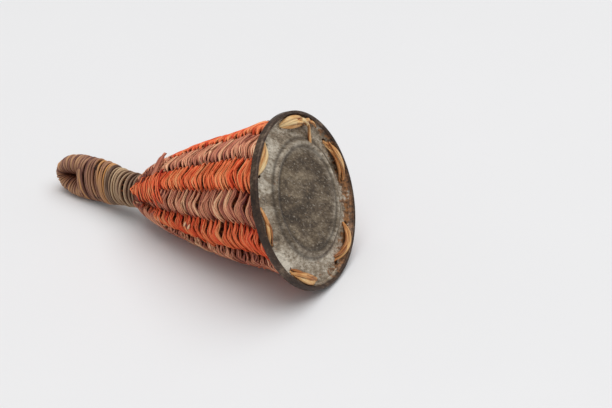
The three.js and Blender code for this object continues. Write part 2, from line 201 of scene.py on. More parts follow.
# Loose ends: of each its path as distance, angle in degrees and height above the weave, half width and tint
SPLICE_COURSE = 2
SPLICE = [
    ([(50.2, -133, 0.1), (49.0, -130, 0.7), (48.0, -126, 0.1)], 0.55, 1.1),
    ([(48.8, -135, 0.1), (47.8, -131, 0.9), (47.2, -127, 0.1)], 0.4, 0.1),
    ([(48.2, -136, 0.1), (46.6, -131, 0.8), (45.8, -128, 0.1)], 0.55, 1.0),
]
THROAT_ENDS = [
    ([(72, -72, 0.2), (69.5, -64, 1.6), (67.5, -55, 3.2), (66, -45, 4.0)], 1.3, 0.4),
    ([(73, -68, 0.2), (71, -60, 1.2), (69.5, -52, 1.8)], 1.1, 0.3),
    ([(85.5, -123, 0.1), (82.5, -120, 0.7), (79.5, -118, 0.2)], 0.8, 1.0),
]
LOOSE_POINTS = 24
LOOSE_THICK = 0.3
LOOSE_TILT = 0.6
LOOSE_TAPER = (5, 0.6)

# Throat
FANS = 6
FIRST_FAN = math.radians(-92)
FAN_START = 64.0
FAN_END = 88.2
# Of the orange and the brown fans: span at the neck, start, and height above the weave
FAN_KINDS = [(0.55, FAN_START, 0.7), (1.0, FAN_START + 3, 0.1)]
FAN_SPAN = math.radians(27)
FAN_SPAN_SHARE = (0.85, 1.12)
FAN_CLOSING = 1.4
FAN_STRANDS = 18
FAN_POINTS = 28
FAN_BOW = 3.2
FAN_BOW_NECK = 0.3
FAN_SETBACK = 0.6
FAN_LEAN = 2.6
FAN_SINK = 1.6
FAN_SUNK = (0.7, 0.3)
FAN_RISE = 0.5
FAN_PROUD = 0.35
FAN_HALF_WIDTHS = (0.58, 0.44)
FAN_WIDTH_SHARE = (0.75, 1.1)
FAN_FULLNESS = 1.25
FAN_TIP = 0.3
FAN_THICK = 0.5
FAN_TURN_SPREAD = 0.05
FAN_ROW_SPREAD = 0.25
FAN_WANDER = (0.5, 0.2)
FAN_TONE = (0.22, 0.58)
# Paler in the middle of each fan strand: a painted highlight on its crest
FAN_CREST_HIGHLIGHT = 0.15
FAN_TINT_WANDER = (0.4, 0.12)
FAN_SHADE = 1.15
FAN_SINK_SHADE = 0.75
# Rows under the fans lie deeper and are painted darker, as shade
COVER = (FAN_START + 4, 8.0)
COVER_SINK = 0.5
COVER_SHADE = 0.8
THROAT_START = 79.0
THROAT_RISE = 4.0
THROAT_TURNS = 9
THROAT_STEPS = 36
THROAT_FILL = 0.44
THROAT_THICK = 0.5
THROAT_SINK = 0.3
THROAT_WANDER = (0.4, 0.12)
THROAT_TONE = 0.3
THROAT_TONE_WANDER = (0.5, 0.2)
THROAT_SHADE = 0.4

# Stitches: of each splint its path over the lid as radius, angle in degrees and height, its half width,
# how far it rolls over at both ends, and its tint
STITCH_RING = 33.2
STITCHES = [
    [
        ([(33.6, -29, -0.6), (34.9, -21, 2.2), (34.6, -9, 2.6), (33.8, 0, 0.4)], 1.15, (0.7, -0.6), 0.75),
        ([(33.2, -29, -0.6), (33.2, -20, 3.0), (33.0, -9, 3.2), (33.4, 1, 0.2)], 1.25, (-0.5, 0.6), 0.9),
        ([(32.8, -28, -0.4), (31.6, -20, 1.8), (31.8, -10, 2.0), (33.0, 2, -0.4)], 1.15, (-0.8, 0.2), 0.62),
        ([(34.4, -25, 1.0), (32.6, -12, 3.9), (34.6, 3, 1.6)], 0.8, (0.3, 0.9), 0.8),
        ([(32.2, -22, 2.0), (34.0, -11, 3.8), (32.6, 0, 2.4), (33.6, 5, 0.4)], 0.7, (-0.4, 0.8), 0.45),
        ([(33.8, -2, 2.4), (32.4, 3, 2.6), (29.4, 8, 1.3), (25.2, 12.8, 0.6)], 1.2, (0.9, -0.3), 0.55),
        ([(34.2, 2, 1.6), (34.8, 9, 2.0), (34.8, 17, 0.8)], 0.8, (0.0, 0.5), 0.66),
        ([(34.9, -15, 1.8), (33.4, -6, 4.2), (32.0, 4, 2.2)], 0.95, (0.4, -0.6), 0.85),
        ([(32.0, -13, 2.8), (33.8, -3, 4.3), (34.9, 7, 1.8)], 0.85, (-0.5, 0.5), 0.6),
    ],
    [
        ([(33.2, 31, -0.6), (34.2, 42, 2.0), (34.8, 55, 1.8), (34.6, 67, 0.0)], 1.5, (0.6, -0.5), 0.55),
        ([(33.0, 31, -0.4), (32.6, 44, 1.8), (31.6, 56, 1.8), (31.2, 67, 0.1)], 1.5, (-0.5, 0.6), 0.45),
        ([(33.8, 34, 1.6), (32.4, 47, 2.9), (33.6, 60, 2.0), (33.2, 66, 0.4)], 1.0, (0.3, 0.9), 0.62),
        ([(32.4, 36, 1.2), (33.8, 48, 2.2), (32.8, 61, 1.4)], 0.8, (-0.3, 0.5), 0.3),
    ],
    [
        ([(31.4, 99, -0.6), (33.8, 106, 1.6), (34.8, 114, 2.0), (33.6, 125, 1.4), (32.0, 136, -0.4)],
         1.3, (0.5, -0.5), 0.6),
        ([(30.6, 100, 0.2), (32.6, 108, 1.4), (33.0, 118, 1.8), (31.0, 134, 0.2)], 1.1, (-0.4, 0.6), 0.45),
        ([(32.0, 101, 0.6), (34.4, 112, 0.9), (33.0, 124, 2.1), (30.4, 135, 0.6)], 0.8, (0.2, 0.7), 0.3),
    ],
    [
        ([(33.2, 166, -0.6), (34.6, 177, 1.8), (34.4, 190, 1.6), (33.4, 201, -0.4)],
         1.45, (0.5, -0.4), 0.65),
        ([(33.0, 166, -0.2), (32.4, 178, 1.5), (33.0, 190, 2.4), (34.2, 200, 0.2)], 1.3, (-0.6, 0.5), 0.5),
        ([(33.8, 169, 0.8), (33.4, 182, 2.6), (32.2, 194, 1.4), (32.6, 201, 0.2)], 0.9, (0.2, 0.9), 0.36),
    ],
    [
        ([(33.3, 228, -0.6), (34.1, 238, 1.5), (33.2, 249, 1.6), (34.0, 258, -0.4)], 1.3, (0.5, -0.5), 0.6),
        ([(33.0, 228, 0.0), (32.4, 239, 1.4), (33.8, 248, 2.0), (33.2, 257, 0.0)], 1.1, (-0.5, 0.5), 0.42),
        ([(33.6, 230, 0.8), (32.8, 241, 2.3), (33.7, 254, 0.8)], 0.65, (0.2, 0.8), 0.25),
    ],
    [
        ([(34.4, 279, -0.5), (33.0, 287, 1.4), (32.8, 297, 1.8), (34.0, 307, -0.4)], 1.5, (0.3, -0.4), 0.9),
        ([(34.8, 280, 0.0), (34.4, 290, 1.4), (34.4, 299, 1.2), (34.6, 306, 0.0)], 1.1, (0.5, -0.2), 0.6),
    ],
]
STITCH_POINTS = 32
STITCH_SIDES = 10
STITCH_TIP = 0.05
STITCH_BLUNTNESS = 0.35
STITCH_THICKNESS = (0.35, 0.6)
STITCH_TINT_WANDER = (5.0, 0.08)

# Handle
NECK_RING = 6.1
BAND_SEAT = 0.7
NECK_REACH = NECK_RING + STAKE_RADIUS_NECK + BAND_SEAT
BAND_THICK = 1.6
BAND_SINK = 0.3
BAND_LEAN = 1.6
BAND_LEAN_SIDE = math.radians(-50)
BAND_LEAN_LENGTH = 10.0
NECK_BAND_START = 89.0
OCHRE_START = 105.8
LEG_BAND_START = 109.4
LEG_BAND_END = 122.4
# Of each winding: start, end, strands side by side, turns, share of the pitch that a strand fills, tone,
# spread of the tones and how far it wanders
NECK_WINDING = (NECK_BAND_START, OCHRE_START, 2, 6, 0.64, 0.52, 0.42, 0.4)
OCHRE_WINDING = (OCHRE_START, LEG_BAND_START, 1, 3, 0.7, 0.78, 0.25, 0.28)
LEG_WINDING = (LEG_BAND_START, LEG_BAND_END, 2, 4, 0.62, 0.55, 0.36, 0.48)
LEVEL_TURNS = 2
BAND_STEPS = 40
BAND_WANDER_SPACING = 0.35
BAND_PROUD_WANDER = (0.3, 0.28)
BAND_WIDTH_WANDER = (0.3, 0.15)
SPLIT_START = 103.4
SPLIT_LENGTH = 9.0
SWELL_START = 96.0
SWELL_LENGTH = 15.0
BEND_CENTRE = 123.3
LOOP_RADIUS = 5.8
LOOP_ASPECT = 2.25
FOLD_BLUNTNESS = 0.88
FOLD_OVERLAP = math.radians(6)
FOLD_STEPS = 600
EYE_HALF_WIDTH = 0.7
EYE_LENGTH = 10.3
LEG_HALF_WIDTH = 3.0
LEG_HALF_DEPTH = 4.2
LEG_BAND_DEPTH = 5.5
LOOP_TURN = math.radians(-20)
WHIP_TURNS = 27
WHIP_STEPS = 36
WHIP_FILL = 0.43
WHIP_THICK = 0.5
WHIP_WANDER = (0.4, 0.006)
WHIP_PROUD_WANDER = (0.35, 0.12)
WHIP_TONE = (0.32, 0.76)
WHIP_TIP_TINT = 0.35
# The whipping is painted darker in the eye, as shade, and is paler outside its tip
EYE_SHADE = 0.9 / 1.3
TIP = (0.75, 0.25)
TIP_OUTSIDE = (0.2, 0.6)
CORE_START = BELL_LENGTH - 5.5
CORE_SINK = 0.8
CORE_FOLD_SINK = 0.35
CORE_FOLD = (0.02, 0.98)
CORE_SPLIT = 2.0
CORE_SIDES = 20
CORE_POINTS = 40
CORE_FOLD_POINTS = 60
CORE_LEG_POINTS = 16
# The core is painted dark, as the shade between the windings
CORE_TINT_SHADE = (0.4, 0.1)

# Seeds
SEED_WELD = 0.01
SEED_CUTS = 2
SEED_SMOOTHINGS = 4
SEED_SMOOTHING = 0.5
SEED_DENTS = 0.05
SEED_DENT_SPAN = 2.0

# Look of straw: noises as scale, detail and roughness, spans as from low to high and what these become
STRIP_SIDES = 8
STRIP_SQUARENESS = 0.8
TAPER_POINTS = 6
TAPER_TIP = 0.25
FIBRE_STEP = 17.3
EDGE_SHARPNESS = 4
# Painted shade along the edges of every strip, where it meets its neighbours; deeper on stitches, fans and
# windings
EDGE_SHADE = 0.56
DEEP_EDGE_SHADE = 0.85
# Stakes and the lining are painted dark, as the shade seen through the gaps of the weave
HIDDEN_TINT_SHADE = (0.3, 0.1)
FIBRE_STRETCH = (0.08, 0.8, 1.0)
FIBRE_NOISE = (1.0, 4.0, 0.7)
FIBRE_TINT = (0.25, 0.75, -0.425, 0.425)
FIBRE_BUMP = (0.8, 0.0004)
PATCH_STRETCH = (0.1, 0.25, 1.0)
PATCH_NOISE = (1.0, 3.0, 0.55)
PATCH_TINT = (0.25, 0.75, -0.18, 0.18)
# Painted shade in the creases between fibres
CREASE_SHADE = (0.34, 0.44, 0.35, 1.0)
# Colour that straw is multiplied by where shade is painted on it
PAINTED_SHADE_COLOUR = (0.26, 0.12, 0.085)
STRAW_SPECULAR = 0.3
STRAW_ROUGHNESS = 0.56
SATIN_ROUGHNESS = 0.45
ROUGHNESS_RANGE = (0.3, 0.7)
ROUGHER = 0.12
SMOOTHER = 0.1

# Tones of the straws from dark to pale, in 0 to 255
ORANGE_TONES = [(0.02, (196, 40, 24)), (0.34, (252, 106, 60)), (0.7, (255, 142, 88)), (1.0, (255, 176, 118))]
BROWN_TONES = [(0.02, (116, 54, 52)), (0.34, (198, 118, 94)), (0.7, (240, 170, 132)), (1.0, (252, 208, 164))]
NATURAL_TONES = [
    (0.05, (120, 66, 34)), (0.4, (204, 138, 80)), (0.7, (232, 182, 118)), (0.98, (244, 214, 160))]
CORE_TONES = [(0.1, (50, 36, 26)), (0.5, (96, 70, 48)), (0.95, (140, 108, 74))]
OLIVE_TONES = [(0.05, (84, 62, 50)), (0.4, (146, 116, 94)), (0.7, (184, 154, 122)), (0.98, (212, 184, 146))]
BOUND_TONES = [(0.05, (82, 50, 48)), (0.35, (150, 104, 88)), (0.65, (190, 146, 110)), (0.98, (224, 164, 98))]

# Look of the tin, with its radii in millimetres
MIDDLE_TONES = [(0.36, (46, 36, 25)), (0.5, (92, 76, 57)), (0.64, (146, 129, 104))]
OUTER_TONES = [(0.34, (84, 70, 54)), (0.47, (152, 136, 115)), (0.6, (224, 214, 196))]
SEAM_TONES = [(0.36, (36, 25, 19)), (0.52, (70, 52, 40)), (0.66, (128, 108, 88))]
RUST_TONES = [(0.36, (58, 36, 20)), (0.62, (164, 108, 56))]
SPECK_DARK = (54, 42, 32)
SPECK_PALE = (206, 196, 180)
GROOVE_COLOUR = (58, 48, 38)
WIPE_STRETCH = (1.0, 0.42, 1.0)
CLOUD_NOISE = (0.15, 5.0, 0.62)
CLOUD_SHARE = 0.6
GRAIN_NOISE = (0.9, 4.0, 0.7)
GRAIN_SHARE = 0.4
GRAIN_BUMP = (0.35, 0.0004)
SPECK_NOISE = (1.4, 3.0, 0.7)
DARK_SPECKS = (0.58, 0.68, 0.0, 0.7)
PALE_SPECKS = (0.42, 0.32, 0.0, 0.5)
DULL_MIDDLE = (20.0, 27.0)
GROOVE_SPAN = (0.2, 1.3, 0.6, 0.0)
SEAM_SPAN = (LID_RADIUS - 2.6, LID_RADIUS - SEAM_WIDTH)
RUST_STRETCH = (1.0, 0.6, 1.0)
RUST_NOISE = (0.42, 4.0, 0.7)
RUST_SIDE = (0.04, 1.0, 0.0)
RUST_SIDE_SPAN = (8.0, 32.0)
RUST_RIM_SPAN = (27.0, 34.0)
RUST_RIM_GAIN = 0.22
RUST_EDGE_SPAN = (24.0, 36.0, -0.06, 0.03)
RUST_SPAN = (0.61, 0.67, 0.0, 0.9)
RUST_LIMIT = (36.6, 35.8)
METAL_SPAN = (0.0, 1.0, 0.4, 0.0)
TIN_ROUGHNESS = (0.35, 0.65, 0.62, 0.42)

# Look of the seeds
SEED_TONES = [(0.35, (96, 82, 66)), (0.6, (150, 132, 108))]
SEED_NOISE = (900.0, 4.0)
SEED_ROUGHNESS = (0.3, 0.7, 0.3, 0.5)
SEED_BUMP = (0.3, 0.0003)

# Floor and light, in metres and watts
FLOOR_HALF = 3.0
FLOOR_TONES = [(0.3, (232, 232, 233)), (0.7, (234, 234, 235))]
FLOOR_NOISE = 4.0
FLOOR_ROUGHNESS = 0.8
FLOOR_SPECULAR = 0.1
# Of each lamp: place, size and power
LAMPS = {"key": ((0.15, 0.2, 1.9), 2.4, 36.0), "fill": ((0.6, -1.4, 1.2), 1.5, 3.5)}
SKY_COLOUR = (1, 1, 1, 1)
SKY_STRENGTH = 0.34

# Camera
VIEW_AZIMUTH = math.radians(34.75)
VIEW_ELEVATION = math.radians(30.74)
VIEW_DISTANCE = 712.1
VIEW_ASIDE = -1.05
VIEW_LIFT = -1.77
FOCAL_LENGTH = 100.0
SENSOR_WIDTH = 36.0
CLIP_START = 0.01


def unit(v):
    v = np.asarray(v, float)
    return v / np.linalg.norm(v, axis=-1, keepdims=True)


def mix(a, b, t):
    return a + (b - a) * t


def smooth(t):
    t = np.clip(t, 0, 1)
    return t * t * (3 - 2 * t)


def rise(t, start, length):
    """A smooth step from 0 at start to 1 after that length."""
    return smooth((t - start) / length)


def rounded(t, power):
    """t raised to a power, with its sign kept."""
    return np.sign(t) * np.abs(t) ** power


# The rattle's own frame in the part's frame: the lid's mount gives its normal, and the table its roll.
lid_mount = next(m for m in frame["record"]["mounts"] if m["name"] == "lid_face")
into_bell = -unit(lid_mount["axis"])
up = np.array([0.0, 0.0, 1.0])
down = unit(into_bell * into_bell.dot(up) - up)
bend_side = math.cos(DOWN_SIDE) * down - math.sin(DOWN_SIDE) * np.cross(into_bell, down)
AXES = np.stack([bend_side, np.cross(into_bell, bend_side), into_bell])
RIM_CENTRE = np.array(lid_mount["pos_m"]) - PANEL_DEPTH * MM * into_bell


def place_in_row(points):
    return RIM_CENTRE + (np.asarray(points) @ AXES) * MM


def arc(s, length, angle):
    """An arc of that length and angle, continued straight at both ends."""
    on_arc = np.clip(s, 0, length)
    radius = length / angle
    turned = on_arc / radius
    beyond = s - on_arc
    x = radius * (1 - np.cos(turned)) + beyond * np.sin(turned)
    z = radius * np.sin(turned) + beyond * np.cos(turned)
    return x, z, turned


def centre(s):
    """The centre line at distance s behind the rim's front: x, z and how far it has turned."""
    body_x, body_z, body = arc(np.minimum(s, LEAN_START) - SKEW_START, SKEW_LENGTH, LID_SKEW)
    lean_x, lean_z, lean = arc(np.maximum(s - LEAN_START, 0), LEAN_LENGTH, HANDLE_LEAN)
    c, n = np.cos(body), np.sin(body)
    x = LID_SHIFT * rise(s, SHIFT_START, SHIFT_LENGTH) + body_x + lean_x * c + lean_z * n
    return x, SKEW_START + body_z + lean_z * c - lean_x * n, body + lean


def offset(s, u, v):
    """A point at distance s along the centre line, offset u towards the bend and v across it."""
    x, z, turned = centre(s)
    return np.stack(np.broadcast_arrays(x + u * np.cos(turned), v, z - u * np.sin(turned)), -1)


def place(s, angle, radius):
    return offset(s, radius * np.cos(angle), radius * np.sin(angle))


def narrowing(s):
    return 1 - (1 - np.clip(s / NARROWING_LENGTH, 0, 1) ** BELL_FULLNESS) ** NECK_BLUNTNESS


def stake_radius(s):
    return mix(STAKE_RADIUS, STAKE_RADIUS_NECK, narrowing(s))


def weft_thickness(s):
    return mix(WEFT_THICKNESS, WEFT_THICKNESS_NECK, narrowing(s))


def weft_reach(s):
    return stake_radius(s) + WEFT_CLEARANCE + weft_thickness(s) / 2


def stake_circle(s):
    flare = MOUTH_FLARE * (1 - smooth(s / FLARE_LENGTH))
    outer = mix(MOUTH_RADIUS, NECK_RADIUS, narrowing(s)) + flare
    in_bell = outer - weft_reach(s) - weft_thickness(s) / 2
    return mix(in_bell, NECK_RING, rise(s, BELL_LENGTH, NECK_BAND_START - BELL_LENGTH))


def inner_side(s):
    return stake_circle(s) - weft_reach(s) - weft_thickness(s) / 2


def by_eye(angle):
    """Stakes are set by eye and stand closer on one side of the bell."""
    return angle - CROWDING * np.sin(angle - CROWDED_SIDE)


def stake_angle(k):
    return by_eye(FIRST_STAKE + TURN * k / STAKES)


def wander(rng, t, spacing, amount):
    """Smooth random offsets along t, with a new value every spacing."""
    steps = (t - t.min()) / spacing
    values = rng.normal(0, amount, int(steps.max()) + 2)
    low = steps.astype(int)
    return mix(values[low], values[low + 1], smooth(steps - low))


def link(name, mesh):
    piece = bpy.data.objects.new(name, mesh)
    bpy.context.scene.collection.objects.link(piece)
    return piece


def dress(piece, node, body="basket"):
    """Lets a piece ride its body, in the place of its plain solid."""
    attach(piece, body)
    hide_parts(node)


class Straws:
    """Straw strips in one mesh, with what their material needs at each point."""

    def __init__(self):
        self.points = []
        self.faces = []
        self.fibre = []
        self.tint = []
        self.shade = []
        self.count = 0

    def add(self, rings, tint, shade=1.0, edge_shade=EDGE_SHADE):
        """rings: lengthwise x round x 3, in millimetres. tint and shade: one value, or one per ring."""
        n, m = rings.shape[:2]
        grid = self.count + np.arange(n * m).reshape(n, m)
        turned = np.roll(grid, -1, axis=1)
        quads = np.stack([grid[:-1], turned[:-1], turned[1:], grid[1:]], -1).reshape(-1, 4)
        self.faces += quads.tolist()
        self.faces.append(grid[0][::-1].tolist())
        self.faces.append(grid[-1].tolist())
        steps = np.linalg.norm(np.diff(rings.mean(1), axis=0), axis=1)
        along = np.concatenate([[0], np.cumsum(steps)])
        girth = np.linalg.norm(rings - np.roll(rings, 1, axis=1), axis=2).sum(1)
        around = girth[:, None] * np.abs(2 * np.arange(m) / m - 1)
        number = FIBRE_STEP * len(self.points)
        fibre = np.stack(np.broadcast_arrays(along[:, None], around, number), -1)
        self.points.append(rings.reshape(-1, 3))
        self.fibre.append(fibre.reshape(-1, 3))
        # Painted shade along the strip's two edges
        lit_share = 1 - edge_shade * np.cos(TURN * np.arange(m) / m) ** EDGE_SHARPNESS
        self.tint.append(self.spread(tint, n, np.ones(m)))
        self.shade.append(self.spread(shade, n, lit_share))
        self.count += n * m

    @staticmethod
    def spread(values, count, across):
        """One value or one per ring, spread over the points round each ring."""
        return np.outer(np.broadcast_to(np.asarray(values, float), (count,)), across).ravel()

    def build(self, name, material):
        mesh = bpy.data.meshes.new(name)
        points = place_in_row(np.concatenate(self.points))
        mesh.from_pydata(points.tolist(), [], self.faces)
        for key, kind, field, values in (
            ("fibre", "FLOAT_VECTOR", "vector", self.fibre),
            ("tint", "FLOAT", "value", self.tint),
            ("shade", "FLOAT", "value", self.shade),
        ):
            stored = mesh.attributes.new(key, kind, "POINT")
            stored.data.foreach_set(field, np.concatenate(values).ravel())
        mesh.materials.append(material)
        mesh.shade_smooth()
        mesh.update()
        return link(name, mesh)


def sweep(point_at, count, half_wide, half_thick, sides=STRIP_SIDES):
    """Rings of a flat straw strip: point_at takes how far across and how far out, count x sides each."""
    turn = TURN * np.arange(sides) / sides
    across = rounded(np.cos(turn), STRIP_SQUARENESS)
    out = rounded(np.sin(turn), STRIP_SQUARENESS)
    wide = np.broadcast_to(half_wide, (count,))[:, None] * across
    thick = np.broadcast_to(half_thick, (count,))[:, None] * out
    return point_at(wide, thick)


def tapered(count, ends=TAPER_POINTS, tip=TAPER_TIP):
    """1 along a strip, falling to tip over its last points at both ends."""
    index = np.arange(count)
    return np.clip(np.minimum(index, count - 1 - index) / ends, tip, 1)


# Materials


def colour(red, green, blue):
    """A colour given as 0 to 255 in sRGB, as linear values."""
    values = np.array([red, green, blue]) / 255
    return tuple(np.where(values <= 0.04045, values / 12.92, ((values + 0.055) / 1.055) ** 2.4))


class Graph:
    """A material's node tree, with short ways to add nodes and links."""

    def __init__(self, name):
        self.material = bpy.data.materials.new(name)
        self.material.use_nodes = True
        self.tree = self.material.node_tree
        self.shader = self.tree.nodes["Principled BSDF"]

    def feed(self, socket, value):
        """Links a socket to another one, or sets it to a constant."""
        if isinstance(value, bpy.types.NodeSocket):
            self.tree.links.new(value, socket)
        else:
            socket.default_value = value

    def node(self, kind, inputs=None, **settings):
        made = self.tree.nodes.new(kind)
        for key, value in settings.items():
            setattr(made, key, value)
        for key, value in (inputs or {}).items():
            self.feed(made.inputs[key], value)
        return made

    def attribute(self, name):
        return self.node("ShaderNodeAttribute", attribute_name=name)

    def noise(self, vector, scale, detail=3.0, roughness=0.55):
        inputs = {"Vector": vector, "Scale": scale, "Detail": detail, "Roughness": roughness}
        return self.node("ShaderNodeTexNoise", inputs).outputs["Fac"]

    def stretched(self, vector, scale):
        return self.node("ShaderNodeMapping", {"Vector": vector, "Scale": scale}).outputs["Vector"]

    def math(self, operation, a, b=0.0):
        return self.node("ShaderNodeMath", {0: a, 1: b}, operation=operation).outputs[0]

    def span(self, value, low, high, new_low=0.0, new_high=1.0):
        inputs = {"Value": value, "From Min": low, "From Max": high, "To Min": new_low, "To Max": new_high}
        return self.node("ShaderNodeMapRange", inputs).outputs["Result"]

    def ramp(self, value, tones):
        made = self.node("ShaderNodeValToRGB", {"Fac": value})
        elements = made.color_ramp.elements
        while len(elements) < len(tones):
            elements.new(0.5)
        for element, (position, tone) in zip(elements, tones):
            element.position = position
            element.color = (*colour(*tone), 1)
        return made.outputs["Color"]

    def blend(self, factor, a, b, kind="MIX"):
        """Two colours, each a socket or linear values. A colour mix keeps them in its inputs 6 and 7."""
        made = self.node("ShaderNodeMix", data_type="RGBA", blend_type=kind)
        self.feed(made.inputs[0], factor)
        for index, value in ((6, a), (7, b)):
            self.feed(made.inputs[index], value if isinstance(value, bpy.types.NodeSocket) else (*value, 1))
        return made.outputs[2]

    def bump(self, height, strength, distance):
        inputs = {"Height": height, "Strength": strength, "Distance": distance}
        return self.node("ShaderNodeBump", inputs).outputs["Normal"]

    def surface(self, **inputs):
        for key, value in inputs.items():
            self.feed(self.shader.inputs[key.replace("_", " ")], value)
        return self.material


def straw(name, tones, roughness=STRAW_ROUGHNESS):
    """Straw with fibres along each strip, a tint of its own per strip, and painted shade where it goes
    under, at its edges and in its fibre creases.
    """
    g = Graph(name)
    fibre = g.attribute("fibre").outputs["Vector"]
    lines = g.noise(g.stretched(fibre, FIBRE_STRETCH), *FIBRE_NOISE)
    patches = g.noise(g.stretched(fibre, PATCH_STRETCH), *PATCH_NOISE)
    tint = g.attribute("tint").outputs["Fac"]
    tint = g.math("ADD", tint, g.span(lines, *FIBRE_TINT))
    tint = g.math("ADD", tint, g.span(patches, *PATCH_TINT))
    base = g.ramp(tint, tones)
    # Painted shade: as dark as the shade attribute and the fibre creases make it
    lit_share = g.math("MULTIPLY", g.attribute("shade").outputs["Fac"], g.span(lines, *CREASE_SHADE))
    shaded_base = g.blend(1.0, base, PAINTED_SHADE_COLOUR, "MULTIPLY")
    return g.surface(
        Base_Color=g.blend(lit_share, shaded_base, base),
        Roughness=g.span(lines, *ROUGHNESS_RANGE, roughness + ROUGHER, roughness - SMOOTHER),
        Specular_IOR_Level=STRAW_SPECULAR,
        Normal=g.bump(lines, *FIBRE_BUMP),
    )


ORANGE = straw("orange_straw", ORANGE_TONES)
BROWN = straw("brown_straw", BROWN_TONES)
NATURAL = straw("natural_straw", NATURAL_TONES, SATIN_ROUGHNESS)
CORE = straw("core_straw", CORE_TONES)
OLIVE = straw("olive_straw", OLIVE_TONES)
BOUND = straw("bound_straw", BOUND_TONES)


# Weft


def row_height(turns):
    """Distance behind the rim's front after that many turns of the spiral, and the pitch there."""
    first = PANEL_DEPTH + SHEET
    length = BELL_LENGTH - first
    done = turns / ROWS_TO_NECK
    height = first + length * (done + ROW_CROWDING * done * (1 - done))
    pitch = length / ROWS_TO_NECK * (1 + ROW_CROWDING * (1 - 2 * done))
    return height, pitch


def weft(name, course, phase, material):
    """One strand of the twining: a bundle of splints that passes each stake on the other side.

    It bows towards the neck over its stake, and its pointed ends dive between the partner's rows.
    """
    rng = np.random.default_rng([RANDOM_START, course, phase])
    first = course * ROWS_PER_COURSE + COURSE_STAGGER * (1 - phase)
    length = ROWS_PER_COURSE * TURN + COURSE_OVERLAP * TURN / STAKES
    angle = np.arange(0, length, TURN / STAKES / STEPS_PER_STAKE) + first * TURN
    angle = np.minimum(angle, LAST_ROW * TURN)
    on_wall = by_eye(FIRST_STAKE + angle[:, None])
    swing = angle * STAKES / 2 + phase * math.pi
    height, pitch = row_height(angle / TURN)
    passing = (swing / TURN + 0.5).astype(int)

    def per_pass(low, high):
        return rng.uniform(low, high, passing.max() + 1)[passing]

    width = per_pass(*PASS_WIDTH)
    bowed = ROW_BOW * per_pass(*PASS_BOW)
    tone = per_pass(*PASS_TONE)
    row = height + wander(rng, angle, *ROW_WANDER)
    proud = WEFT_PROUD + per_pass(*PASS_PROUD)
    covered = rise(height, *COVER)
    thick = mix(*SPLINT_THICKNESS, narrowing(height))
    ends = tapered(len(angle))
    straws = Straws()
    for share, aside_low, aside_high, crown in SPLINTS:
        over = np.cos(swing + wander(rng, angle, *SWING_WANDER))
        lift = 2 * rise(over, *PASS_LIFT) - 1
        body = mix(END_WIDTH, 1.0, rise(over, *PASS_BODY)) * width
        body = body + BEHIND_WIDTH * rise(-over, *PASS_BEHIND)
        bow = pitch * (bowed * np.maximum(over, 0) ** 2 + ROW_LEAN * over - ROW_SETBACK)
        slant = pitch * (SLANT_ONCE * np.sin(swing) + SLANT_TWICE * np.sin(2 * swing))
        across = per_pass(aside_low, aside_high) + SPLINT_CROSSING * np.sin(swing) * per_pass(-1, 1)
        at = row + bow + slant + pitch * body * across + wander(rng, angle, *SPLINT_WANDER)
        above = proud * np.maximum(lift, 0) + crown * thick - COVER_SINK * covered
        base = weft_reach(height) * lift + above
        tilt = per_pass(*SPLINT_TILT)

        def point_at(wide, out):
            s = np.maximum(at[:, None] + wide, BEHIND_LID)
            reach = stake_circle(s) + base[:, None] + out + tilt[:, None] * wide
            return place(s, on_wall, np.maximum(reach, inner_side(s)))

        wide = share * pitch * body * ends * (1 + wander(rng, angle, *WIDTH_WANDER))
        tint = tone + per_pass(-SPLINT_TINT, SPLINT_TINT) + wander(rng, angle, *TINT_WANDER)
        # Painted shade behind the stakes and under the fans, painted highlight over the crests
        shade = rise(lift, *PASS_SHADE) * (1 - COVER_SHADE * covered)
        straws.add(sweep(point_at, len(angle), wide, thick * ends), tint + CREST_HIGHLIGHT * over, shade)
    if phase == 1:
        line_wall(straws, row, pitch, on_wall)
    if phase == 1 and course == SPLICE_COURSE:
        for path, half, tint in SPLICE:
            loose_end(straws, path, half, tint)
    if course == COURSES - 1:
        throat(straws, rng, phase)
    piece = straws.build(f"{name}_weft_{course + 1}", material)
    dress(piece, f"{name}_weaver_{course + 1}")


def line_wall(straws, row, pitch, on_wall):
    """The hidden ends of a strand on the inner side of the wall, painted dark as the shade seen through the
    gaps.
    """

    def point_at(wide, out):
        s = np.maximum(row[:, None] + wide, BEHIND_LID)
        return place(s, on_wall, stake_circle(s) - LINING_DEPTH * weft_reach(s) + out)

    straws.add(sweep(point_at, len(row), LINING_WIDTH * pitch, LINING_THICK), *HIDDEN_TINT_SHADE)


# Throat: the last strands lie over two stakes each, in long fans that end at the neck.


def skin_radius(s):
    """Outer radius of the weave and, behind the bell, of the neck's binding."""
    weave = stake_circle(s) + weft_reach(s) + weft_thickness(s) / 2
    return np.maximum(weave, mix(0, NECK_REACH, rise(s, THROAT_START, THROAT_RISE)))


def over_weave(s, angle, above, tilt=0.0):
    """Where a strip lies over the weave, from columns of its distance, angle and height above it."""

    def point_at(wide, out):
        at = s + wide
        return place(at, angle, skin_radius(at) + above + out + tilt * wide)

    return point_at


